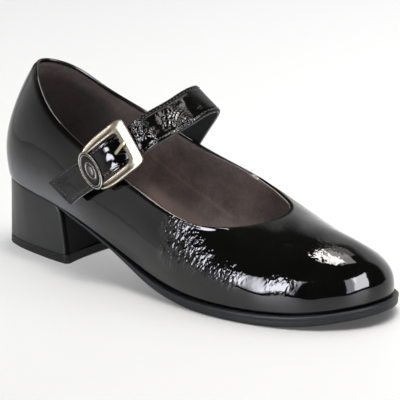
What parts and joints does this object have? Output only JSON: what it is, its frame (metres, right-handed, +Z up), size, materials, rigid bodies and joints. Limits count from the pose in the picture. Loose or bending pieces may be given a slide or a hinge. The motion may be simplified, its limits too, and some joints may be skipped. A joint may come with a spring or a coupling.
{
  "type": "ballet flat",
  "caption": "Round-toed court shoe with a low block heel, a strap over the instep and a square buckle with an oval plate.",
  "frame": {"origin": "bottom centre of the whole shoe's box, on the ground plane", "axes": "+X from the heel to the toe, +Y to the inner (medial) side, so the buckle is on the -Y side, +Z up"},
  "size_m": [0.255, 0.0866, 0.1062],
  "materials": {
    "patent_leather": "black crinkle patent, glossy",
    "sole_rubber": "satin black",
    "heel_lacquer": "satin black lacquer",
    "suede_lining": "matt taupe microsuede",
    "champagne_metal": "polished champagne plating",
    "antique_metal": "antique silver plating"
  },
  "bodies": {
    "root": {"upper": "patent_leather", "strap": "patent_leather", "outsole": "sole_rubber", "insole": "suede_lining", "heel_block": "heel_lacquer", "heel_top_piece": "sole_rubber", "buckle_frame": "champagne_metal", "buckle_pin": "champagne_metal", "buckle_prong": "champagne_metal", "buckle_oval_plate": "antique_metal", "buckle_tab": "patent_leather"}
  },
  "joints": []
}
